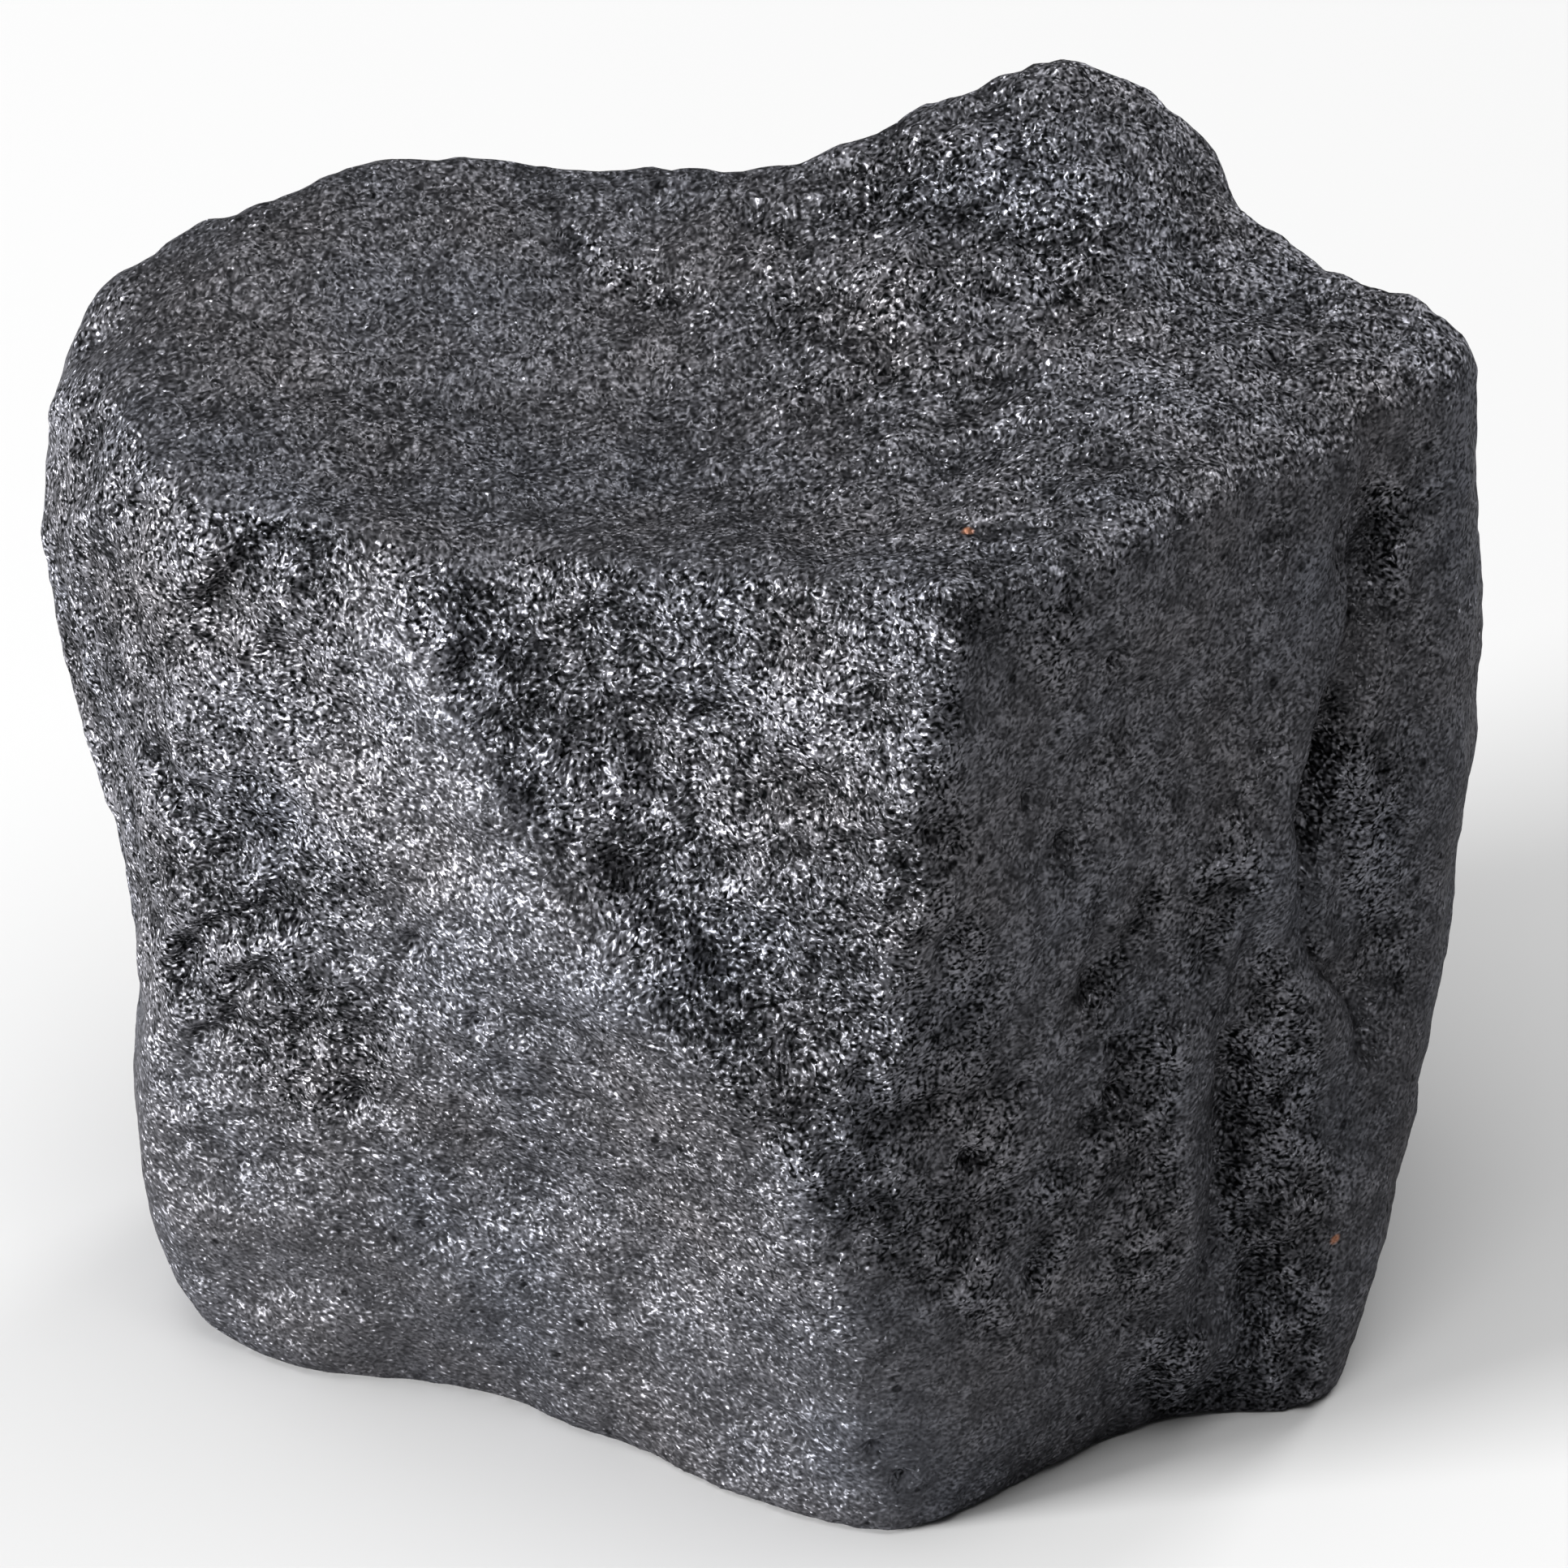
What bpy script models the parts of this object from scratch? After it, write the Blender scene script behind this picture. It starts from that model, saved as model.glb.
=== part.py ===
"""A rough, tumbled lump of hematite, about 30 mm across, as one solid.

The lump is blocky: a dished top with a knob at its back, a long left face, a stepped right face,
a narrow side at each end and a broken back. It is made as such a stone is made in nature. Corner
points give the broken block, tumbling softens its arrises, ledges and creases step its faces, and
hollows, lumps and an uneven skin roughen it. It stands on Z = 0, with -Y at the front.
"""
import bmesh
import bpy
from mathutils import Vector, noise
from mathutils.bvhtree import BVHTree

NAME = "hematite_stone"
MM = 0.001

# Driving dimensions, in millimetres.
GRID_CELL = 0.42
HEART = Vector((0.0, 0.8, 11.0))
BLOCK = Vector((30.0, 19.5, 24.0))
TUMBLING = 9
LEDGE_RISER = 0.9
SOLID_TRIANGLES = 9500

# Uneven skin: the size of its features and their height, in millimetres.
SKIN = [(5.2, 0.20), (2.1, 0.14), (1.1, 0.07)]

# Corner points of the broken block, in millimetres, each group along one arris or over one face.
CORNERS = {
    "front_rim": [
        (-15.3, 5.0, 20.3), (-14.6, 3.2, 21.2), (-13.8, 1.4, 21.8), (-13.1, -0.7, 22.0),
        (-12.3, -2.8, 22.0), (-10.1, -3.5, 22.1), (-8.2, -4.1, 22.1), (-6.7, -4.4, 21.6),
        (-4.4, -4.9, 22.0), (-1.9, -5.5, 22.2), (0.6, -6.6, 22.6), (3.6, -7.4, 23.0),
        (6.2, -5.8, 22.8), (8.8, -3.0, 22.6), (11.4, 0.0, 22.3), (14.0, 2.9, 21.8),
    ],
    "back_rim": [
        (14.6, 4.3, 21.7), (13.3, 5.2, 22.1), (11.0, 6.3, 22.2), (9.8, 7.8, 22.6),
        (9.5, 9.3, 23.2), (8.7, 10.0, 23.8), (7.2, 10.5, 24.3), (6.1, 11.0, 24.9),
        (5.2, 10.9, 24.35), (3.1, 10.0, 23.9), (-0.1, 9.6, 22.6), (-2.8, 10.3, 22.3),
        (-5.1, 10.4, 22.1), (-8.7, 10.6, 22.4), (-10.9, 8.9, 22.2), (-12.7, 8.5, 21.6),
        (-14.9, 6.9, 21.2),
    ],
    "top": [
        (-12.0, 5.0, 22.1), (-9.5, 2.0, 21.7), (-8.5, 7.0, 22.2), (-5.5, 3.5, 21.3),
        (-6.5, -1.0, 21.4), (-2.0, 6.5, 21.9), (-1.5, 2.0, 21.1), (-2.5, -2.0, 21.2),
        (2.0, -3.2, 21.8), (3.0, 1.0, 21.9), (3.4, 6.0, 23.0), (6.6, 8.0, 24.3),
        (6.5, -1.5, 22.4), (7.5, 3.0, 22.6), (10.6, 4.0, 22.5),
    ],
    "front_ridge": [
        (3.2, -8.4, 21.3), (2.6, -8.9, 19.3), (2.4, -9.4, 17.0), (2.2, -9.2, 13.7),
        (1.7, -9.1, 11.9), (0.9, -9.8, 10.5), (0.9, -10.0, 8.9), (1.4, -9.9, 5.6),
        (1.9, -9.6, 2.6), (2.4, -9.1, 0.2), (2.6, -9.0, -0.6),
    ],
    "slant_ridge": [
        (-7.7, -5.2, 20.8), (-7.0, -6.0, 19.0), (-6.2, -6.6, 17.9), (-5.6, -7.0, 17.1),
        (-5.0, -7.5, 15.9), (-4.1, -8.2, 14.8), (-2.7, -9.1, 13.6), (-1.4, -9.9, 12.7),
        (-0.3, -10.1, 11.5),
    ],
    "upper_front": [
        (-4.4, -5.2, 20.1), (-1.9, -5.8, 20.5), (0.6, -7.0, 20.9), (1.8, -8.0, 20.2),
        (-2.7, -6.1, 18.2), (-0.1, -7.1, 18.6), (-1.9, -6.9, 15.9), (0.6, -8.3, 16.6),
        (-0.9, -8.1, 14.1), (1.0, -8.5, 14.2), (0.5, -9.0, 12.7),
    ],
    "left_face": [
        (-9.9, -4.2, 20.2), (-9.0, -4.7, 18.0), (-10.6, -4.1, 16.0), (-8.1, -5.5, 15.5),
        (-10.6, -4.2, 13.2), (-8.0, -5.4, 12.6), (-10.9, -4.1, 10.6), (-6.1, -6.8, 13.9),
        (-5.6, -6.7, 10.7), (-8.3, -5.2, 9.6), (-10.8, -4.1, 7.4), (-3.4, -7.8, 10.6),
        (-1.2, -9.0, 9.6), (-5.3, -6.1, 7.4), (-7.9, -5.0, 6.4), (-2.8, -7.3, 7.3),
        (-0.6, -8.6, 6.6), (-11.4, -3.6, 4.2), (-8.3, -4.6, 3.4), (-5.5, -5.4, 3.6),
        (-2.8, -6.8, 3.6), (-0.4, -8.2, 3.5),
    ],
    "left_ridge": [
        (-12.4, -3.2, 20.4), (-12.3, -3.2, 18.6), (-12.5, -3.2, 16.5), (-12.8, -3.1, 14.6),
        (-13.0, -3.0, 12.7), (-13.1, -2.8, 10.4), (-13.4, -2.6, 8.1), (-13.8, -2.4, 5.6),
        (-13.7, -2.1, 3.4), (-13.3, -2.0, 1.4),
    ],
    "left_side": [
        (-15.7, 3.2, 17.4), (-15.5, 3.2, 15.6), (-14.8, 2.4, 12.8), (-14.2, 2.0, 10.6),
        (-13.8, 1.2, 8.6), (-14.5, 0.0, 19.5), (-14.2, -0.2, 16.4), (-13.7, 0.0, 13.0),
        (-15.2, 6.0, 18.6), (-14.6, 6.0, 14.4), (-13.8, 5.6, 9.6), (-13.7, 2.2, 5.0),
        (-13.4, 2.0, 1.6),
    ],
    "right_face": [
        (4.6, -7.0, 20.6), (6.5, -5.6, 20.6), (8.2, -4.1, 20.6), (10.2, -2.2, 20.6),
        (12.4, 0.2, 20.2), (5.4, -6.6, 17.8), (8.0, -4.5, 17.5), (10.2, -2.7, 17.2),
        (4.6, -7.6, 15.4), (7.2, -5.6, 15.0), (9.6, -3.8, 14.6), (12.2, -1.2, 16.6),
        (12.6, -1.2, 13.2), (4.6, -7.9, 11.6), (7.2, -6.0, 11.2), (9.8, -4.4, 11.0),
        (12.3, -2.0, 9.9), (4.4, -8.4, 8.0), (7.2, -6.5, 7.4), (9.6, -5.0, 7.4),
        (11.7, -3.2, 6.8), (4.6, -8.3, 4.0), (7.2, -6.6, 4.0), (9.6, -5.3, 4.0),
        (11.2, -4.4, 3.4),
    ],
    "right_ridge": [
        (14.4, 2.6, 20.4), (14.4, 2.0, 18.0), (14.3, 1.6, 15.6), (14.1, 1.0, 13.2),
        (13.9, 0.2, 10.6), (13.7, -0.8, 8.0), (13.3, -1.8, 5.2), (12.4, -3.2, 2.0),
        (11.9, -3.8, 0.3),
    ],
    "right_side": [
        (14.8, 4.6, 18.6), (14.8, 4.4, 15.6), (14.8, 4.0, 12.6), (14.5, 3.2, 10.2),
        (14.3, 2.4, 7.0), (13.5, 1.0, 3.6), (12.4, 1.5, 0.0),
    ],
    "foot": [
        (-12.7, -2.2, 0.3), (-11.3, -2.8, -0.4), (-10.1, -3.2, -0.6), (-8.4, -3.2, -0.6),
        (-6.4, -3.7, -0.6), (-3.5, -5.5, -0.6), (-0.9, -7.6, -0.6), (0.9, -8.5, -0.6),
        (4.8, -6.9, -0.6), (6.8, -5.4, -0.6), (9.0, -4.3, -0.6), (10.8, -4.6, -0.6),
        (11.8, -4.2, -0.4), (11.6, 2.0, -0.6), (10.2, 6.6, -0.6), (4.0, 8.8, -0.6),
        (-3.0, 9.0, -0.6), (-9.0, 7.0, -0.6), (-12.4, 3.0, -0.4),
    ],
    "underside": [(-6.0, 1.5, -1.2), (0.0, -2.5, -1.2), (5.0, 2.0, -1.2)],
    "back": [
        (-13.9, 8.6, 17.5), (-13.9, 7.6, 12.0), (-12.7, 7.4, 5.6), (-8.6, 10.8, 18.0),
        (-7.4, 11.4, 13.4), (-6.8, 10.4, 6.0), (-2.0, 10.0, 17.0), (-0.6, 10.6, 10.0),
        (-1.0, 10.0, 4.0), (4.0, 11.6, 20.4), (4.4, 11.8, 14.6), (4.6, 10.8, 6.6),
        (9.6, 9.8, 18.6), (9.8, 9.4, 12.0), (9.0, 8.6, 5.0), (13.8, 6.6, 17.0),
        (13.4, 6.6, 10.6), (12.2, 6.2, 4.4),
    ],
}

# Ledges: a route along the skin, the way down from it, how far the skin drops and the run over
# which the drop is made up again.
TO_THE_RIGHT = Vector((0.78, 0.62, 0.0))
DOWN = Vector((0.0, 0.0, -1.0))
LEDGES = [
    ([(12.5, -0.5, 19.4), (12.4, -0.8, 17.9), (12.2, -1.2, 16.8), (11.9, -1.5, 16.2),
      (11.5, -1.9, 15.2), (11.4, -2.3, 14.0), (11.4, -2.5, 12.7), (11.6, -2.7, 11.4),
      (12.2, -2.4, 10.3)], TO_THE_RIGHT, 0.7, 3.2),
    ([(9.7, -4.6, 10.8), (9.9, -4.6, 8.8), (9.8, -4.9, 7.7), (9.6, -5.0, 6.2),
      (9.4, -5.2, 5.3), (9.4, -5.4, 3.8), (9.2, -5.6, 2.3)], TO_THE_RIGHT, 0.5, 3.0),
    ([(1.4, -9.5, 9.1), (2.4, -9.1, 9.0), (3.5, -8.7, 8.7)], DOWN, 0.30, 1.4),
    ([(-12.5, -3.3, 15.5), (-11.8, -3.8, 15.5), (-10.9, -4.3, 15.8)], DOWN, 0.35, 1.8),
]

# Creases and grooves: a route along the skin, its reach to each side and its depth.
CREASES = [
    ([(12.5, -0.5, 19.4), (12.4, -0.8, 17.9), (12.2, -1.2, 16.8), (11.9, -1.5, 16.2),
      (11.5, -1.9, 15.2), (11.4, -2.3, 14.0), (11.4, -2.5, 12.7), (11.6, -2.7, 11.4),
      (12.2, -2.4, 10.3)], 1.5, 0.45),
    ([(11.8, -1.6, 16.0), (11.5, -1.9, 15.2), (11.4, -2.3, 14.0), (11.4, -2.5, 12.7)], 0.8, 0.5),
    ([(9.8, -4.6, 10.6), (9.9, -4.6, 8.8), (9.8, -4.9, 7.7), (9.6, -5.0, 6.2),
      (9.4, -5.2, 5.3), (9.4, -5.4, 3.8)], 1.4, 0.5),
    ([(9.9, -4.6, 9.4), (9.8, -4.9, 7.7), (9.6, -5.0, 6.2)], 0.7, 0.25),
    ([(8.1, -5.6, 10.4), (8.1, -5.8, 8.3), (8.0, -6.1, 5.5)], 1.3, -0.20),
    ([(7.4, -5.5, 14.4), (7.0, -5.9, 13.5), (6.1, -6.6, 12.5)], 0.8, 0.22),
    ([(-11.7, -3.4, 19.4), (-11.0, -3.7, 20.6), (-10.4, -3.9, 21.4)], 0.9, 0.30),
    ([(-12.6, -3.0, 12.6), (-11.2, -3.7, 12.3), (-9.8, -4.3, 11.5)], 0.8, -0.22),
    ([(-4.7, 7.0, 22.0), (-3.4, 5.4, 21.7)], 1.0, 0.20),
]

# Hollows and lumps: centre, reach and depth. A depth below 0 is a lump.
HOLLOWS = [
    ((12.4, -0.5, 19.5), 1.5, 0.45),
    ((9.8, -2.6, 21.2), 1.7, 0.25),
    ((9.9, -3.7, 13.0), 1.8, -0.25),
    ((12.3, -1.0, 16.0), 1.6, -0.20),
    ((11.0, -3.6, 8.8), 1.8, -0.20),
    ((10.1, -4.8, 3.2), 1.4, 0.30),
    ((6.8, -6.4, 10.4), 0.9, 0.18),
    ((3.7, -8.8, 10.0), 0.8, 0.22),
    ((3.0, -8.4, 17.6), 0.8, 0.25),
    ((3.3, -8.5, 15.1), 0.9, 0.30),
    ((5.2, -8.0, 6.5), 0.8, 0.18),
    ((1.4, -9.8, 8.4), 0.8, 0.25),
    ((2.2, -9.4, 2.2), 0.7, 0.25),
    ((-11.8, -3.6, 14.4), 1.1, 0.25),
    ((-12.2, -3.3, 10.6), 0.9, 0.30),
    ((-12.5, -3.1, 9.3), 0.8, -0.22),
    ((-10.2, -4.0, 18.9), 1.0, 0.15),
    ((-7.6, -5.5, 13.0), 0.7, 0.25),
    ((-8.9, -4.8, 8.5), 0.7, 0.20),
    ((-6.6, -5.0, 19.6), 0.9, 0.25),
    ((-4.0, -5.3, 20.2), 0.9, 0.20),
    ((-3.3, -6.8, 15.4), 1.0, 0.25),
    ((-6.0, -6.5, 17.0), 0.8, -0.22),
    ((-6.9, -6.0, 18.9), 0.8, -0.18),
    ((-8.3, -4.5, 3.2), 1.3, 0.20),
    ((-10.0, -3.9, 4.4), 1.6, -0.15),
    ((9.6, 8.4, 22.6), 1.2, 0.20),
    ((-5.6, -4.6, 21.8), 1.2, 0.30),
    ((-3.6, -5.0, 21.8), 1.2, -0.15),
    ((-0.8, -5.8, 22.2), 1.2, 0.20),
    ((1.8, -6.9, 22.6), 1.3, 0.25),
]

# Base finish of the fresh mineral: colour, roughness and metallic share.
COLOUR = (0.075, 0.076, 0.083, 1.0)
ROUGHNESS = 0.46
METALLIC = 0.85


def cage_of_corners():
    """The broken block: flat facets between the corners, joined as the hull of their directions."""
    cage = bmesh.new()
    places = {}
    for group in CORNERS.values():
        for corner in group:
            direction = (Vector(corner) - HEART).normalized()
            places[cage.verts.new(direction)] = Vector(corner)
    bmesh.ops.convex_hull(cage, input=cage.verts)
    for vertex, place in places.items():
        vertex.co = place
    return cage


def gridded_block():
    """A box of the stone's size with a square grid on all six sides, one welded skin."""
    block = bmesh.new()
    for axis in range(3):
        across = [i for i in range(3) if i != axis]
        cells = [round(BLOCK[i] / GRID_CELL) for i in across]
        for side in (-0.5, 0.5):
            made = bmesh.ops.create_grid(block, x_segments=cells[0], y_segments=cells[1], size=0.5)
            for vertex in made["verts"]:
                place = Vector((0, 0, 0))
                place[across[0]] = vertex.co.x * BLOCK[across[0]]
                place[across[1]] = vertex.co.y * BLOCK[across[1]]
                place[axis] = side * BLOCK[axis]
                vertex.co = place
    bmesh.ops.remove_doubles(block, verts=block.verts, dist=GRID_CELL / 100)
    bmesh.ops.recalc_face_normals(block, faces=block.faces)
    return block


def press_onto(block, cage):
    """Each grid point goes out from the heart to the facet that it meets."""
    facets = BVHTree.FromBMesh(cage)
    for vertex in block.verts:
        place, _, _, _ = facets.ray_cast(HEART, vertex.co.normalized())
        vertex.co = place


def tumble(block):
    """Wear: each point goes half way to the middle of its neighbours, again and again."""
    for _ in range(TUMBLING):
        bmesh.ops.smooth_vert(
            block, verts=block.verts, factor=0.5, use_axis_x=True, use_axis_y=True, use_axis_z=True
        )


def falloff(share):
    """1 in the middle of a feature and 0 at its reach, with no edge at either."""
    return (1 - share * share) ** 2 if share < 1 else 0.0


def laid_on(block, route):
    """The route's stops, each moved to the nearest point of the skin."""
    skin = BVHTree.FromBMesh(block)
    return [skin.find_nearest(Vector(stop))[0] for stop in route]


def from_route(point, stops):
    """The way to a point from the nearest place on a route."""
    ways = [point - stops[0]]
    for start, end in zip(stops, stops[1:]):
        along = end - start
        share = (point - start).dot(along) / along.length_squared
        ways.append(point - start - along * min(1, max(0, share)))
    return min(ways, key=lambda way: way.length)


def sink(block, stops, reach, depth_at):
    """Points within reach of a route go in along their normals, by a depth for their way off it."""
    block.normal_update()
    moves = []
    for vertex in block.verts:
        way = from_route(vertex.co, stops)
        if way.length < reach:
            moves.append((vertex, vertex.normal * -depth_at(way)))
    for vertex, move in moves:
        vertex.co += move


def crease(block, route, reach, depth):
    sink(block, laid_on(block, route), reach, lambda way: depth * falloff(way.length / reach))


def ledge(block, route, downhill, drop, run):
    def depth_at(way):
        if way.dot(downhill) <= 0:
            return 0.0
        return drop * min(1, way.length / LEDGE_RISER) * falloff(way.length / run)

    sink(block, laid_on(block, route), run, depth_at)


def roughen(block):
    for size, height in SKIN:
        block.normal_update()
        moves = [(v, v.normal * (height * noise.noise(v.co / size))) for v in block.verts]
        for vertex, move in moves:
            vertex.co += move


def thinned(block):
    """The same skin with fewer triangles: the flattest edges go first."""
    mesh = bpy.data.meshes.new("skin")
    block.to_mesh(mesh)
    skin = bpy.data.objects.new("skin", mesh)
    bpy.context.scene.collection.objects.link(skin)
    thinning = skin.modifiers.new("thinning", "DECIMATE")
    thinning.ratio = SOLID_TRIANGLES / (2 * len(mesh.polygons))
    evaluated = skin.evaluated_get(bpy.context.evaluated_depsgraph_get())
    thin = bmesh.new()
    thin.from_mesh(evaluated.data)
    bpy.data.objects.remove(skin)
    return thin


def cut_foot(block):
    """The foot is one flat face at Z = 0."""
    everything = block.verts[:] + block.edges[:] + block.faces[:]
    cut = bmesh.ops.bisect_plane(
        block, geom=everything, plane_co=(0, 0, 0), plane_no=(0, 0, -1), clear_outer=True
    )
    rim = [item for item in cut["geom_cut"] if isinstance(item, bmesh.types.BMEdge)]
    bmesh.ops.contextual_create(block, geom=rim)
    for edge in rim:
        edge.smooth = False
    bmesh.ops.recalc_face_normals(block, faces=block.faces)


def hematite():
    material = bpy.data.materials.new("hematite")
    material.use_nodes = True
    shader = material.node_tree.nodes["Principled BSDF"]
    shader.inputs["Base Color"].default_value = COLOUR
    shader.inputs["Roughness"].default_value = ROUGHNESS
    shader.inputs["Metallic"].default_value = METALLIC
    return material


def build():
    block = gridded_block()
    press_onto(block, cage_of_corners())
    tumble(block)
    for route, downhill, drop, run in LEDGES:
        ledge(block, route, downhill, drop, run)
    for route, reach, depth in CREASES:
        crease(block, route, reach, depth)
    for centre, reach, depth in HOLLOWS:
        crease(block, [centre], reach, depth)
    roughen(block)
    block = thinned(block)
    cut_foot(block)
    bmesh.ops.scale(block, vec=(MM, MM, MM), verts=block.verts)
    mesh = bpy.data.meshes.new(NAME)
    block.to_mesh(mesh)
    mesh.shade_smooth()
    mesh.materials.append(hematite())
    stone = bpy.data.objects.new(NAME, mesh)
    xs, ys = [[v.co[axis] for v in mesh.vertices] for axis in (0, 1)]
    stone.location = (-(min(xs) + max(xs)) / 2, -(min(ys) + max(ys)) / 2, 0)
    return stone


for old in list(bpy.data.objects):
    bpy.data.objects.remove(old)
pieces = bpy.data.collections.new(NAME)
bpy.context.scene.collection.children.link(pieces)
pieces.objects.link(build())
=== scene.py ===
# %% [markdown]
# # A rough hematite stone
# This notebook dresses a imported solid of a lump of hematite, 30 mm wide. The solid gives the broken
# block with its ledges and grooves. Here it gets the things that are too fine for a solid: crumbly
# fracture faces, pits and crystal grain, and then a floor, lights and a camera.

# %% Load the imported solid
import math

import bpy
import numpy as np
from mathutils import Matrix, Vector, noise
from mathutils.bvhtree import BVHTree


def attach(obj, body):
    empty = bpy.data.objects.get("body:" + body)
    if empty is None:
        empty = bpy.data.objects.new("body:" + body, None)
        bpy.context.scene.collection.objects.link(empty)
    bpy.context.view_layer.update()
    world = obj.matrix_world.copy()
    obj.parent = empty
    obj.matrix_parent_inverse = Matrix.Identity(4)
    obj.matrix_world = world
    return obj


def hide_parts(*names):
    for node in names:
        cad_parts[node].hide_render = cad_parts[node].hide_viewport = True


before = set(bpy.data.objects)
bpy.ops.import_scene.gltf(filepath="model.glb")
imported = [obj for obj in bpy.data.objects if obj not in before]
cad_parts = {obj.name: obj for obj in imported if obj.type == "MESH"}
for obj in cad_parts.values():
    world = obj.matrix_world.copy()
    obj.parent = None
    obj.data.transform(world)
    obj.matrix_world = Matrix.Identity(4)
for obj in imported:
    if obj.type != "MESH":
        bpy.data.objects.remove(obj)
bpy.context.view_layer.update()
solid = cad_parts["hematite_stone"]
scene = bpy.context.scene
MM = 0.001

# %% [markdown]
# ## The camera
# The stone is seen from a quarter of a metre away with a long lens, 35 degrees above the level of
# the floor. At that distance the near edges look only slightly larger than the far ones. The aim is
# a little to the right of the origin and just over half way up the stone.

# %% Camera
CAMERA_HEIGHT = math.radians(35.0)
CAMERA_DISTANCE = 0.250
AIM = Vector((0.0004, -0.00097, 0.0131))
FRAME_PIXELS = 1932
PIXELS_PER_MM = 59.0
FRAME_WIDTH = FRAME_PIXELS / PIXELS_PER_MM * MM
SENSOR_MM = 36.0

lens = bpy.data.cameras.new("long lens")
lens.sensor_width = SENSOR_MM
lens.lens = SENSOR_MM * CAMERA_DISTANCE / FRAME_WIDTH
lens.clip_start = 0.01
camera = bpy.data.objects.new("camera", lens)
forward = Vector((0.0, math.cos(CAMERA_HEIGHT), -math.sin(CAMERA_HEIGHT)))
camera.location = AIM - CAMERA_DISTANCE * forward
camera.rotation_euler = forward.to_track_quat("-Z", "Y").to_euler()
scene.collection.objects.link(camera)
scene.camera = camera
print("focal length in mm:", round(lens.lens, 1))

# %% [markdown]
# ## An even skin to carve
# The solid has large triangles, and carving needs small even ones. A voxel remesh lays a fine net
# over the solid, and a few rounds of smoothing take the old triangles' edges out of it. The net is
# 0.19 mm wide, about two of the grains that the finish draws. Dividing the old triangles instead
# would keep their uneven sizes.

# %% Remesh and smooth
NET_MM = 0.19
SMOOTHING_ROUNDS = 7

stone = bpy.data.objects.new("stone", solid.data.copy())
scene.collection.objects.link(stone)
net = stone.modifiers.new("fine net", "REMESH")
net.mode = "VOXEL"
net.voxel_size = NET_MM * MM
ease = stone.modifiers.new("ease the old edges", "SMOOTH")
ease.factor = 0.5
ease.iterations = SMOOTHING_ROUNDS
graph = bpy.context.evaluated_depsgraph_get()
skin = bpy.data.meshes.new_from_object(stone.evaluated_get(graph))
stone.modifiers.clear()
stone.data = skin
skin.shade_smooth()


def read_points(mesh):
    """The mesh's points and normals as arrays, the points in millimetres."""
    points = np.empty(3 * len(mesh.vertices))
    mesh.vertices.foreach_get("co", points)
    normals = np.empty(3 * len(mesh.vertices))
    mesh.vertex_normals.foreach_get("vector", normals)
    return points.reshape(-1, 3) / MM, normals.reshape(-1, 3)


points, normals = read_points(skin)
print("points in the net:", len(points))

# %% [markdown]
# ## Where the stone is rough
# A broken face of hematite is crumbly where crystals tore out, and smoother where it was rubbed. The
# face between the slanting ridge and the upright one is the roughest, and the upper left corner
# comes next. The left side is the smoothest, and the back has a few crumbly patches. This could be
# painted by hand, but a rule on where each point lies and which way it faces is shorter and can be
# read. It gives each point a number from 0 to 1, and both the carving and the finish read it.

# %% Helpers for the maps
def ramp(values, start, end):
    """0 at start and before, 1 at end and beyond, and a smooth change between them."""
    share = np.clip((values - start) / (end - start), 0, 1)
    return share * share * (3 - 2 * share)


def uneven(size, seed):
    """Smooth noise from about -1 to 1 with features of a size in millimetres."""
    return np.array([noise.noise(place) for place in points / size + seed])


x, z = points[:, 0], points[:, 2]
print("the skin reaches up to", round(float(z.max()), 2), "mm")

# %% Which way each point faces
TO_THE_FRONT_LEFT = np.array([-0.45, -0.87, 0.2])
TO_THE_RIGHT = np.array([0.8, -0.6, 0.0])

front_left = ramp(normals @ TO_THE_FRONT_LEFT, 0.35, 0.75)
left = ramp(-normals[:, 0], 0.75, 0.95)
right = ramp(normals @ TO_THE_RIGHT, 0.35, 0.75)
back = ramp(normals[:, 1], 0.3, 0.7)
up = ramp(normals[:, 2], 0.3, 0.6)
print("share of the skin that looks up:", round(float(up.mean()), 2))

# %% Map of roughness
EVERYWHERE = 0.22
MORE_WHERE_TORN = 0.78
UPPER_LEFT_SHARE = 0.9
PATCHES_BEHIND = 0.40
BORDER_WANDER_MM = 2.2
# The slanting ridge starts at this height and place, and falls this much for each mm to the right.
RIDGE_TOP_Z = 20.8
RIDGE_TOP_X = -7.3
RIDGE_FALL = 1.324

# The torn faces' borders wander, except along the slanting ridge.
wander = BORDER_WANDER_MM * uneven(2.8, 29.3)
above_ridge = z - (RIDGE_TOP_Z - RIDGE_FALL * (x - RIDGE_TOP_X))
upper_front = front_left * ramp(above_ridge, -0.6, 0.6)
upper_left = UPPER_LEFT_SHARE * front_left
upper_left *= ramp(z + wander, 7.0, 10.0)
upper_left *= ramp(-x + wander, 7.4, 9.8)

crumbly = EVERYWHERE + MORE_WHERE_TORN * np.maximum(upper_front, upper_left)
# The top is rougher towards the right, and the front left face is smoother near its foot.
crumbly += up * (0.02 + 0.25 * ramp(x, -4.0, 5.0))
crumbly += front_left * (0.12 - 0.22 * ramp(z, 8.0, 3.0))
crumbly -= 0.14 * left
crumbly += PATCHES_BEHIND * back * ramp(uneven(6.0, 51.1), 0.0, 0.4)
crumbly = np.clip(crumbly, 0, 1)
print("mean roughness of the skin:", round(float(crumbly.mean()), 2))

# %% [markdown]
# ## Lumps, crumbs and scarps
# Broken hematite is lumpy at every size, and where crystals tore out it has steep little scarps.
# Every feature is a height in millimetres on each point, up or down along its normal. Sculpting by
# hand would be slower and couldn't be read. Noise of several sizes gives the lumps and crumbs, and
# ridged noise with its crests cut off gives the scarps.

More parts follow.
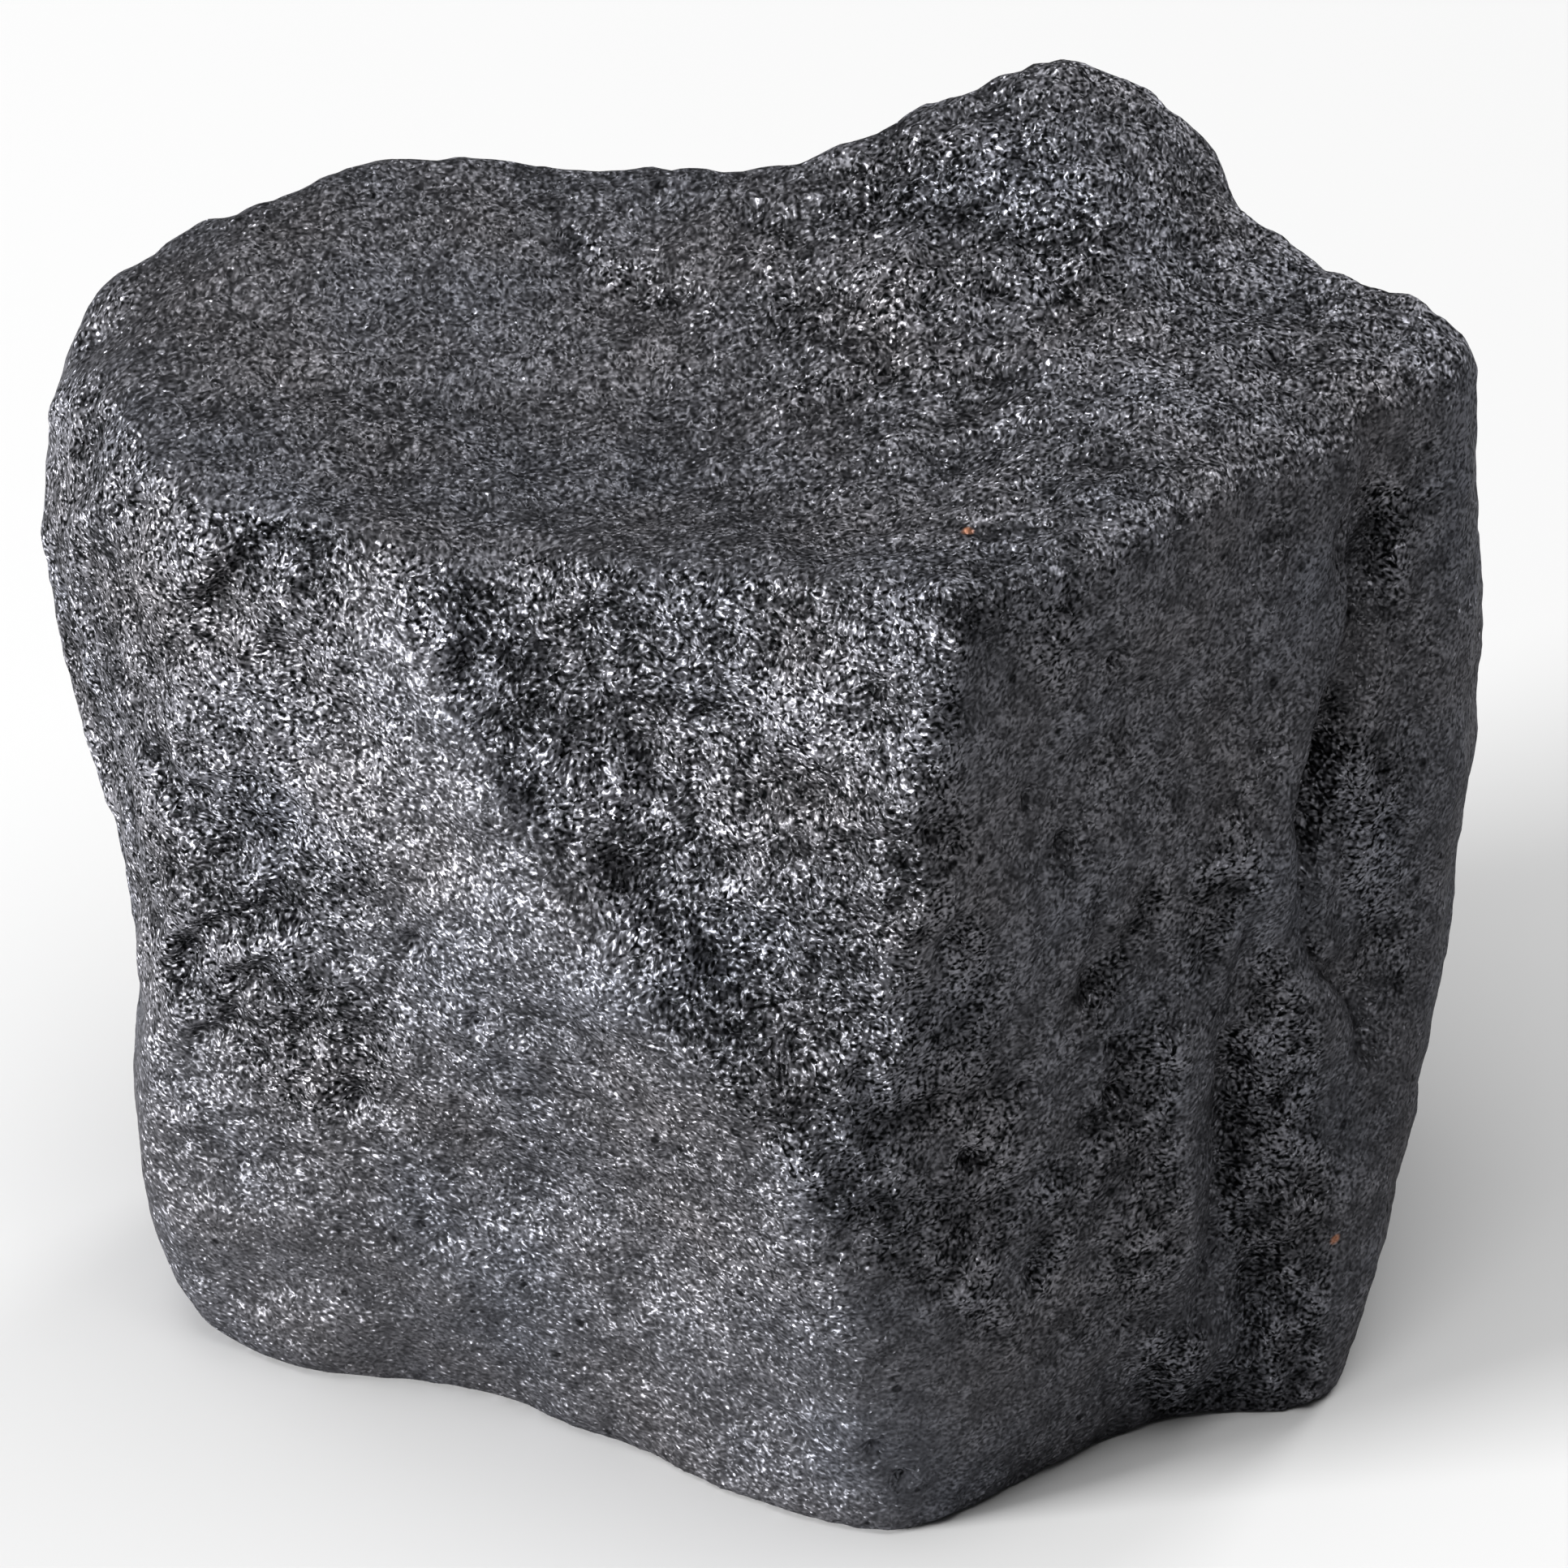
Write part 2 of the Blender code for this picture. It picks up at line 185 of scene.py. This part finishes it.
# %% Lumps and crumbs
# Size in mm, seed, height in mm on smooth skin, and how much more of it torn skin has.
LUMPS = [
    (1.7, 3.1, 0.02, 0.20),
    (0.8, 11.7, 0.02, 0.14),
    (0.42, 23.9, 0.02, 0.07),
]
height = np.zeros(len(points))
for size, seed, on_smooth, more_on_torn in LUMPS:
    height += (on_smooth + more_on_torn * crumbly) * uneven(size, seed)
print("lumps from", round(height.min(), 2), "to", round(height.max(), 2), "mm")

# %% Torn crystals
SCARP_MM = 1.3
SCARP_DEPTH = 0.10
SCARP_STEEPNESS = 2.2
CREST_CUT = 0.85


def torn(size, seed):
    """Steep little scarps: ridged noise from 0 to 1 with its crests cut off."""
    crests = 1 - np.abs(uneven(size, seed)) * SCARP_STEEPNESS
    return np.clip(crests, 0, CREST_CUT)


height -= SCARP_DEPTH * crumbly * torn(SCARP_MM, 41.3)
print("deepest point now", round(height.min(), 2), "mm")

# %% [markdown]
# ## Creases, rims and pits
# A stone is known by its own creases and pits, so these stand at known places. They could be given as
# points in space, but those are hard to read. Each is a route instead: a few points of the camera's
# frame that are cast onto the skin. It lies on the stone from whatever side it is seen.

# %% Places on the skin
tree_of_skin = BVHTree.FromPolygons(
    [vertex.co for vertex in skin.vertices], [tuple(face.vertices) for face in skin.polygons]
)
turn_of_camera = camera.rotation_euler.to_matrix()


def on_skin(pixel):
    """The point of the skin, in millimetres, that lies under a pixel of the camera's frame."""
    across = (pixel[0] / FRAME_PIXELS - 0.5) * SENSOR_MM
    upward = (0.5 - pixel[1] / FRAME_PIXELS) * SENSOR_MM
    direction = (turn_of_camera @ Vector((across, upward, -lens.lens))).normalized()
    place = tree_of_skin.ray_cast(camera.location, direction)[0]
    if place is None:
        raise ValueError(f"no stone under pixel {pixel}")
    return np.array(place) / MM


def distance_to(route):
    """Each point's distance in millimetres to the line through a route's places on the skin."""
    stops = [on_skin(pixel) for pixel in route]
    nearest = np.linalg.norm(points - stops[0], axis=1)
    for start, end in zip(stops, stops[1:]):
        run = end - start
        share = np.clip((points - start) @ run / (run @ run), 0, 1)
        away = np.linalg.norm(points - start - share[:, None] * run, axis=1)
        nearest = np.minimum(nearest, away)
    return nearest


def bowl(distance, reach):
    """1 in the middle of a feature, falling smoothly to 0 at its reach."""
    share = np.clip(distance / reach, 0, 1)
    return (1 - share * share) ** 2


middle = (FRAME_PIXELS // 2, FRAME_PIXELS // 2)
print("middle of the frame lies on", on_skin(middle).round(1), "mm")

# %% Creases and rims
# Route in frame pixels, reach in mm, depth in mm. A depth below 0 raises a rim.
STROKES = {
    "long groove, hollow at its top": ([(1690, 668), (1684, 720)], 0.95, 0.36),
    "long groove": ([(1686, 700), (1672, 800), (1640, 885), (1627, 945)], 0.90, 0.40),
    "long groove, its sharp core": (
        [(1628, 935), (1615, 1000), (1611, 1060), (1617, 1120), (1632, 1180)], 0.55, 0.42
    ),
    "long groove, its lower end": (
        [(1632, 1180), (1652, 1212), (1680, 1235), (1683, 1290)], 0.45, 0.24
    ),
    "lobe beside the long groove": ([(1672, 900), (1668, 975)], 0.75, -0.22),
    "low groove": (
        [(1506, 1290), (1520, 1340), (1518, 1390), (1505, 1430), (1508, 1480), (1500, 1540)],
        0.64, 0.44,
    ),
    "low groove, its end": ([(1500, 1540), (1482, 1620)], 0.80, 0.22),
    "bulge left of the low groove": ([(1455, 1300), (1450, 1500)], 0.75, -0.15),
    "lobe between the grooves": ([(1575, 1180), (1625, 1265)], 0.95, -0.20),
    "crease in the right face": ([(1362, 1125), (1342, 1222)], 0.40, 0.18),
    "short crease": ([(1180, 1140), (1160, 1190)], 0.38, 0.16),
    "low step": ([(1055, 1496), (1120, 1490), (1182, 1484)], 0.34, 0.18),
    "ring round the boulder": (
        [(212, 1200), (240, 1177), (275, 1190), (287, 1230), (278, 1268), (248, 1282)],
        0.38, 0.32,
    ),
    "lip above the boulder": ([(270, 1187), (325, 1168), (372, 1160)], 0.36, -0.20),
    "hollow above the lip": ([(222, 1172), (262, 1148), (325, 1122), (362, 1138)], 0.46, 0.24),
    "dark hollow": ([(250, 1030), (300, 1060)], 0.80, 0.22),
    "bow above the hollow": ([(225, 990), (268, 962), (312, 966)], 0.40, 0.22),
    "slanting crease, upper left": ([(248, 752), (305, 692), (345, 668)], 0.42, 0.17),
    "bow, upper left": ([(298, 835), (338, 802), (392, 812)], 0.42, 0.13),
    "crest of the slanting ridge": (
        [(482, 692), (515, 800), (556, 915), (600, 962), (622, 1012)], 0.50, -0.08
    ),
    "crest of the slanting ridge, lower": (
        [(622, 1012), (655, 1075), (715, 1150), (780, 1235), (895, 1335), (990, 1398)],
        0.45, -0.08,
    ),
    "dent in the rough face": ([(782, 1092), (812, 1062)], 0.65, 0.12),
    "nick in the rough face": ([(700, 935), (712, 950)], 0.45, 0.12),
}
# Hollows are painted darker, as shade. In a stroke there is half as much as its depth would give.
PAINTED_SHADE_IN_STROKES = 0.50

painted_light_relief = height.copy()
for route, reach, depth in STROKES.values():
    stroke = depth * bowl(distance_to(route), reach)
    height -= stroke
    painted_light_relief -= PAINTED_SHADE_IN_STROKES * stroke
print(len(STROKES), "strokes; deepest point now", round(height.min(), 2), "mm")

# %% Pits that stand at known places
# The net can't hold a pit under 0.36 mm in radius, so each is that wide.
PIT_REACH = 0.36
PIT_DEPTH = 0.30
PITS = [
    (1380, 815), (1275, 985), (1150, 1025), (1315, 1040), (1375, 1290), (1265, 1340), (1375, 1350),
    (1195, 1425), (1274, 1570), (1385, 1640), (1620, 1470), (510, 1165), (586, 1262), (440, 1360),
    (355, 1138), (390, 1230), (1111, 1823), (1076, 1788),
]
for pixel in PITS:
    height -= PIT_DEPTH * bowl(distance_to([pixel]), PIT_REACH)
print(len(PITS), "pits")

# %% Pits all round, and slow swells
LATTICE_MM = 2.3
LATTICE_SEED = 5.5
PITTED_SHARE = 0.30
SCATTERED_REACH = 0.34
SCATTERED_DEPTH = 0.18
SWELL_MM = 3.4
SWELL_HEIGHT = 0.05


def scattered_pits(size, seed, reach):
    """Pits at some points of a random lattice: 1 in the middle of each and 0 at its rim."""
    depth = np.zeros(len(points))
    for index, place in enumerate(points / size + seed):
        distances, centres = noise.voronoi(place)
        # A number from -1 to 1 for each lattice point. Times 7, neighbours draw different ones.
        drawn = noise.cell(centres[0] * 7.0)
        if drawn < 2 * PITTED_SHARE - 1:
            depth[index] = max(0.0, 1 - (distances[0] * size / reach) ** 2) ** 2
    return depth


height -= SCATTERED_DEPTH * scattered_pits(LATTICE_MM, LATTICE_SEED, SCATTERED_REACH)
height += SWELL_HEIGHT * uneven(SWELL_MM, 17.2)
print("carved from", round(height.min(), 2), "to", round(height.max(), 2), "mm")

# %% [markdown]
# ## Painted highlights and shade
# Crests are painted lighter and hollows darker, in step with their height: a painted highlight on the
# crests and painted shade in the hollows. The right face is painted darker low down, as shade. Some
# listed places are painted lighter, as highlights, and others darker, as shade, among them the foot
# of
# the left face. None of this is carved: each point gets a number that is 0.5 on the level, near 1
# where it is painted lightest and near 0 where it is painted darkest. The finish reads it.

# %% Map of painted highlights and shade
# A crest this many mm high gets a full painted highlight, and a hollow this many mm deep full painted
# shade.
FULL_PAINTED_LIGHT_MM = 0.11
# How much darker the right face is painted low down, as shade.
PAINTED_SHADE_LOW_ON_THE_RIGHT = 0.38
# Route in frame pixels, reach in mm, and how much lighter it is painted (below 0, darker): painted
# highlights and painted shade.
PAINTED_HIGHLIGHTS_AND_SHADE = {
    "painted highlight at the upper left": ([(235, 620), (250, 760), (330, 900)], 3.0, 0.56),
    "rim of the top, left end": ([(112, 400), (150, 520), (215, 600)], 1.3, 0.45),
    "painted highlight beside the upright ridge": ([(1072, 830), (1010, 930)], 1.7, 0.42),
    "crest of the slanting ridge": ([(490, 700), (560, 880), (640, 1010), (770, 1190)], 0.8, 0.35),
    "tip of the rough face": ([(890, 1200), (990, 1340)], 1.6, -0.30),
    "hollow above the boulder": ([(235, 1000), (295, 1085), (350, 1130)], 1.3, -0.35),
    "lip above the boulder": ([(262, 1192), (325, 1172), (375, 1165)], 0.7, 0.45),
    "left end of the top": ([(300, 450), (420, 430)], 1.9, 0.20),
    "foot of the left face": ([(230, 1430), (420, 1480), (700, 1660)], 2.8, -0.25),
}

# Crests are painted lighter and hollows darker: painted highlight and painted shade.
painted_light_and_shade = 0.5 + 0.5 * painted_light_relief / FULL_PAINTED_LIGHT_MM
# The right face is painted darker low down, as shade.
painted_light_and_shade -= PAINTED_SHADE_LOW_ON_THE_RIGHT * right * ramp(z, 16.0, 5.0)
# Listed places are painted lighter or darker, as highlights and shade.
for route, reach, amount in PAINTED_HIGHLIGHTS_AND_SHADE.values():
    painted_light_and_shade += amount * bowl(distance_to(route), reach)
painted_light_and_shade = np.clip(painted_light_and_shade, 0, 1)
print("clean share of the skin:", round(float((painted_light_and_shade > 0.5).mean()), 2))

# %% [markdown]
# ## The carved stone
# The carving fades out near the floor, so the foot stays flat, and no point sinks below it. The two
# maps become attributes of the mesh, where the finish can read them. The piece rides with the solid
# and is shown in its place.

# %% Put the carving on the mesh
FOOT_CLEARANCE = 0.35

standing = ramp(z, 0.0, FOOT_CLEARANCE)
carved = points + normals * (height * standing)[:, None]
carved[:, 2] = np.maximum(carved[:, 2], 0.0)
skin.vertices.foreach_set("co", (carved * MM).ravel())
skin.update()
for name, values in {"crumbly": crumbly, "painted_light_and_shade": painted_light_and_shade}.items():
    skin.attributes.new(name, "FLOAT", "POINT").data.foreach_set("value", values.astype(np.float32))
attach(stone, "root")
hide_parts("hematite_stone")
print("triangles:", 2 * len(skin.polygons))

# %% [markdown]
# ## Finish
# Specular hematite is iron oxide in tiny flat crystals with a metal's shine, here as nature broke
# it. Each crystal is a small steel-grey mirror, and the eye sees the ones that happen to face a
# light as glints. A real crystal for each would be millions of faces. Noise does it here: it leans
# the shader's normal, grain by grain, and it sets how dusty each grain is.

# %% Helpers for the finish
def linear(hex_colour):
    """A linear colour from an sRGB hex value."""
    parts = [int(hex_colour[place : place + 2], 16) / 255 for place in (1, 3, 5)]
    return [
        part / 12.92 if part <= 0.04045 else ((part + 0.055) / 1.055) ** 2.4 for part in parts
    ] + [1.0]


def add(tree, kind, links=None, inputs=None, **settings):
    """A node with its settings, its inputs' values, and links to them."""
    node = tree.nodes.new(kind)
    for name, value in settings.items():
        setattr(node, name, value)
    for name, value in (inputs or {}).items():
        node.inputs[name].default_value = value
    for name, socket in (links or {}).items():
        tree.links.new(socket, node.inputs[name])
    return node


def per_metre(size_mm):
    """The texture scale that gives features of a size in millimetres."""
    return 1000.0 / size_mm


print("half grey is", round(linear("#808080")[0], 3), "in linear light")

# %% The metal
# A dull steel-grey metal. Its tint is darker than white because at a glancing view rough crystals
# shade one another, and a plain metal would shine too much there.
GLANCING_SHINE = "#B4B4B4"

hematite = bpy.data.materials.new("specular hematite")
hematite.use_nodes = True
tree = hematite.node_tree
shader = tree.nodes["Principled BSDF"]
shader.inputs["Metallic"].default_value = 1.0
shader.inputs["Specular Tint"].default_value = linear(GLANCING_SHINE)
place = add(tree, "ShaderNodeTexCoord").outputs["Object"]
torn_here = add(tree, "ShaderNodeAttribute", attribute_name="crumbly").outputs["Fac"]
painted_light_here = add(tree, "ShaderNodeAttribute", attribute_name="painted_light_and_shade").outputs["Fac"]
print("finish:", hematite.name)

# %% [markdown]
# ### Grain
# Packets of crystals lie in their own directions. A cell pattern does that at once: each cell's
# colour turns the space inside it, and the noise there turns along. All grains are half as long
# again from front to back, and a third longer along their own packet. Many real crystals are finer
# than the 0.08 mm drawn here, and from this far they would blur to a plain grey.

# %% Grains in packets
PACKET_MM = 0.55
GRAIN_MM = 0.08
RIPPLE_MM = 0.09
FULL_TURN = (6.3, 6.3, 6.3)
FRONT_TO_BACK = (1.0, 0.65, 1.0)
ALONG_THE_PACKET = (1.0, 1.0, 0.75)

packets = add(
    tree, "ShaderNodeTexVoronoi", {"Vector": place}, {"Scale": per_metre(PACKET_MM)}
).outputs["Color"]
turn = add(
    tree, "ShaderNodeVectorMath", {0: packets}, {1: FULL_TURN}, operation="MULTIPLY"
).outputs[0]
drawn_out = add(
    tree, "ShaderNodeVectorMath", {0: place}, {1: FRONT_TO_BACK}, operation="MULTIPLY"
).outputs[0]
turned = add(
    tree, "ShaderNodeVectorRotate", {"Vector": drawn_out, "Rotation": turn},
    rotation_type="EULER_XYZ",
).outputs[0]
lengthened = add(
    tree, "ShaderNodeVectorMath", {0: turned}, {1: ALONG_THE_PACKET}, operation="MULTIPLY"
).outputs[0]
grain, ripple = (
    add(
        tree, "ShaderNodeTexNoise", {"Vector": lengthened},
        {"Scale": per_metre(size), "Detail": 0.0},
    ).outputs["Color"]
    for size in (GRAIN_MM, RIPPLE_MM)
)
print("a grain is", round(GRAIN_MM * PIXELS_PER_MM, 1), "frame pixels wide")

# %% How each grain leans
# Where the skin is fully torn, the ripple leans the grains about three times as far.
RIPPLE_ON_SMOOTH = 1.3
RIPPLE_ON_TORN = 4.2
GRIT_MM = 0.60
GRIT_HEIGHT_MM = 0.12
HALF = (0.5, 0.5, 0.5)

grain_lean, ripple_lean = (
    add(
        tree, "ShaderNodeVectorMath", {0: colours}, {1: HALF}, operation="SUBTRACT"
    ).outputs[0]
    for colours in (grain, ripple)
)
amount = add(
    tree, "ShaderNodeMapRange", {"Value": torn_here},
    {"To Min": RIPPLE_ON_SMOOTH, "To Max": RIPPLE_ON_TORN},
).outputs[0]
ripple_lean = add(
    tree, "ShaderNodeVectorMath", {0: ripple_lean, "Scale": amount}, operation="SCALE"
).outputs[0]
lean = add(
    tree, "ShaderNodeVectorMath", {0: grain_lean, 1: ripple_lean}, operation="ADD"
).outputs[0]
grit = add(
    tree, "ShaderNodeTexNoise", {"Vector": place},
    {"Scale": per_metre(GRIT_MM), "Detail": 1.6, "Roughness": 0.65},
).outputs["Fac"]
bump = add(
    tree, "ShaderNodeBump", {"Height": grit},
    {"Strength": 1.0, "Distance": GRIT_HEIGHT_MM * MM},
).outputs[0]
leaning = add(tree, "ShaderNodeVectorMath", {0: bump, 1: lean}, operation="ADD").outputs[0]
normal = add(tree, "ShaderNodeVectorMath", {0: leaning}, operation="NORMALIZE").outputs[0]
tree.links.new(normal, shader.inputs["Normal"])
print("nodes so far:", len(tree.nodes))

# %% [markdown]
# ### Dust, steel and painted light
# Some grains are clean and some are coated with dull dust, and that makes most of their contrast.
# The same noise that leans a grain also says how dusty it is. The map of painted highlights and shade
# and the grit then make it lighter or darker, so the dust colour also serves as painted shade. Smooth
# skin is more even, because it was rubbed. The clean metal drifts between a warmer and a bluer grey.

# %% How clean each grain is, and how much painted light it gets
CLEAN_CURVE = 1.15
EVEN_SHARE_OF_CLEAN = 0.40

numbers_of_grain = add(tree, "ShaderNodeSeparateXYZ", {"Vector": grain})
spread = add(
    tree, "ShaderNodeMapRange", {"Value": numbers_of_grain.outputs["X"]},
    {"From Min": 0.30, "From Max": 0.68},
).outputs[0]
clean_and_painted_light = add(tree, "ShaderNodeMath", {0: spread}, {1: CLEAN_CURVE}, operation="POWER").outputs[0]
# The map paints highlights and shade onto the grains here.
by_the_map = add(
    tree, "ShaderNodeMapRange", {"Value": painted_light_here}, {"To Min": 0.55, "To Max": 1.45}
).outputs[0]
by_the_grit = add(
    tree, "ShaderNodeMapRange", {"Value": grit},
    {"From Min": 0.34, "From Max": 0.66, "To Min": 0.45, "To Max": 1.60},
).outputs[0]
clean_and_painted_light = add(tree, "ShaderNodeMath", {0: clean_and_painted_light, 1: by_the_map}, operation="MULTIPLY").outputs[0]
clean_and_painted_light = add(
    tree, "ShaderNodeMath", {0: clean_and_painted_light, 1: by_the_grit}, operation="MULTIPLY", use_clamp=True
).outputs[0]
uneven_share = add(
    tree, "ShaderNodeMapRange", {"Value": torn_here},
    {"From Min": 0.08, "From Max": 0.60, "To Min": 0.40, "To Max": 1.0},
).outputs[0]
clean_and_painted_light = add(
    tree, "ShaderNodeMix", {"Factor": uneven_share, "B": clean_and_painted_light}, {"A": EVEN_SHARE_OF_CLEAN},
    data_type="FLOAT",
).outputs["Result"]
print("nodes so far:", len(tree.nodes))

# %% Steel, and dust that also serves as painted shade
DRIFT_MM = 3.5
WARM_STEEL = "#868283"
BLUE_STEEL = "#7E828D"
# Dusty grains take this colour, and so does the painted shade from the map.
DUST_AND_PAINTED_SHADE = "#131415"

drift = add(
    tree, "ShaderNodeTexNoise", {"Vector": place}, {"Scale": per_metre(DRIFT_MM), "Detail": 3.0}
).outputs["Fac"]
steel = add(
    tree, "ShaderNodeMix", {"Factor": drift},
    {"A": linear(WARM_STEEL), "B": linear(BLUE_STEEL)}, data_type="RGBA",
).outputs["Result"]
colour = add(
    tree, "ShaderNodeMix", {"Factor": clean_and_painted_light, "B": steel}, {"A": linear(DUST_AND_PAINTED_SHADE)}, data_type="RGBA"
).outputs["Result"]
print("nodes so far:", len(tree.nodes))

# %% [markdown]
# ### Pinholes as painted shade, and rust
# The stone is full of pinholes too small for the net to hold, so here they are only painted shade:
# dark specks on about half the points of a cell pattern. In two small spots the iron has turned to
# orange rust.
# Both could be painted, but a rule needs no picture laid over the stone.

# %% Pinholes, as painted shade
PINHOLE_LATTICE_MM = 0.55
# The painted shade of a pinhole.
PINHOLE_SHADE = "#0E0F10"

pinholes = add(
    tree, "ShaderNodeTexVoronoi", {"Vector": place}, {"Scale": per_metre(PINHOLE_LATTICE_MM)}
)
which = add(
    tree, "ShaderNodeSeparateXYZ", {"Vector": pinholes.outputs["Color"]}
).outputs["X"]
pinhole_reach = add(
    tree, "ShaderNodeMapRange", {"Value": which},
    {"From Min": 0.45, "From Max": 1.0, "To Min": 0.0, "To Max": 0.24},
).outputs[0]
inside = add(
    tree, "ShaderNodeMath", {0: pinhole_reach, 1: pinholes.outputs["Distance"]},
    operation="SUBTRACT",
).outputs[0]
pinhole_shade = add(
    tree, "ShaderNodeMapRange", {"Value": inside},
    {"From Min": -0.03, "From Max": 0.06, "To Min": 0.0, "To Max": 0.75},
).outputs[0]
colour = add(
    tree, "ShaderNodeMix", {"Factor": pinhole_shade, "A": colour}, {"B": linear(PINHOLE_SHADE)}, data_type="RGBA"
).outputs["Result"]
print("nodes so far:", len(tree.nodes))

# %% Rust
RUST_SPOTS = [(1192, 655), (1645, 1527)]
RUST = "#B47C5E"
RUST_CORE_MM = 0.07
RUST_EDGE_MM = 0.16

for spot in RUST_SPOTS:
    centre = [float(value) * MM for value in on_skin(spot)]
    away = add(
        tree, "ShaderNodeVectorMath", {0: place}, {1: centre}, operation="DISTANCE"
    ).outputs["Value"]
    rusty = add(
        tree, "ShaderNodeMapRange", {"Value": away},
        {
            "From Min": RUST_EDGE_MM * MM, "From Max": RUST_CORE_MM * MM,
            "To Min": 0.0, "To Max": 0.70,
        },
    ).outputs[0]
    colour = add(
        tree, "ShaderNodeMix", {"Factor": rusty, "A": colour}, {"B": linear(RUST)},
        data_type="RGBA",
    ).outputs["Result"]
tree.links.new(colour, shader.inputs["Base Color"])
print(len(RUST_SPOTS), "spots of rust")

# %% How sharply each grain shines
SHARPEST = 0.44
DULLEST = 0.62

roughness = add(
    tree, "ShaderNodeMapRange", {"Value": numbers_of_grain.outputs["Y"]},
    {"From Min": 0.30, "From Max": 0.70, "To Min": SHARPEST, "To Max": DULLEST},
).outputs[0]
tree.links.new(roughness, shader.inputs["Roughness"])
skin.materials.clear()
skin.materials.append(hematite)
print("the stone's finish:", skin.materials[0].name, "with", len(tree.nodes), "nodes")

# %% [markdown]
# ## Floor
# The stone stands on a sheet of pale matt paper. It is one large flat square, because a curved sweep
# would only show if the camera looked further up.

# %% Floor
FLOOR_REACH = 0.6
PAPER = "#CACACA"

floor_mesh = bpy.data.meshes.new("floor")
corners = [(-1, -1), (1, -1), (1, 1), (-1, 1)]
floor_mesh.from_pydata(
    [(FLOOR_REACH * across, FLOOR_REACH * deep, 0) for across, deep in corners], [], [(0, 1, 2, 3)]
)
floor = bpy.data.objects.new("floor", floor_mesh)
scene.collection.objects.link(floor)
paper = bpy.data.materials.new("matt paper")
paper.use_nodes = True
sheet = paper.node_tree.nodes["Principled BSDF"]
sheet.inputs["Base Color"].default_value = linear(PAPER)
sheet.inputs["Roughness"].default_value = 0.9
floor_mesh.materials.append(paper)
print("floor:", 2 * FLOOR_REACH, "m across")

# %% [markdown]
# ## Light
# Rough metal shows its shape only where a light's reflection sweeps over it. A low light on the left
# makes the two torn faces sparkle and leaves the right face dark, with the upright ridge between
# them. A large overhead light gives the top its soft grey, and a weak one behind on the right draws
# the right edge. Soft boxes do this: a sun lamp would make every glint hard.

# %% Lights
SOFTBOX_DISTANCE = 0.55
ROOM_LIGHT = 0.06


def softbox(name, around, above, width, power):
    """A square light turned to the stone.

    It stands around degrees to the right of the camera's side and above degrees over the floor.
    """
    light = bpy.data.lights.new(name, "AREA")
    light.size = width
    light.energy = power
    lamp = bpy.data.objects.new(name, light)
    side, rise = math.radians(around), math.radians(above)
    direction = Vector(
        (math.sin(side) * math.cos(rise), -math.cos(side) * math.cos(rise), math.sin(rise))
    )
    lamp.location = AIM + SOFTBOX_DISTANCE * direction
    lamp.rotation_euler = (-direction).to_track_quat("-Z", "Y").to_euler()
    scene.collection.objects.link(lamp)


softbox("low key on the left", around=-70, above=9, width=0.16, power=10.6)
softbox("overhead", around=0, above=85, width=0.45, power=2.95)
softbox("behind on the right", around=145, above=18, width=0.16, power=1.75)
surroundings = bpy.data.worlds.new("studio")
surroundings.use_nodes = True
sky = surroundings.node_tree.nodes["Background"]
sky.inputs["Color"].default_value = linear("#FFFFFF")
sky.inputs["Strength"].default_value = ROOM_LIGHT
scene.world = surroundings
scene.view_settings.view_transform = "Standard"
print("lights:", [light.name for light in bpy.data.lights])
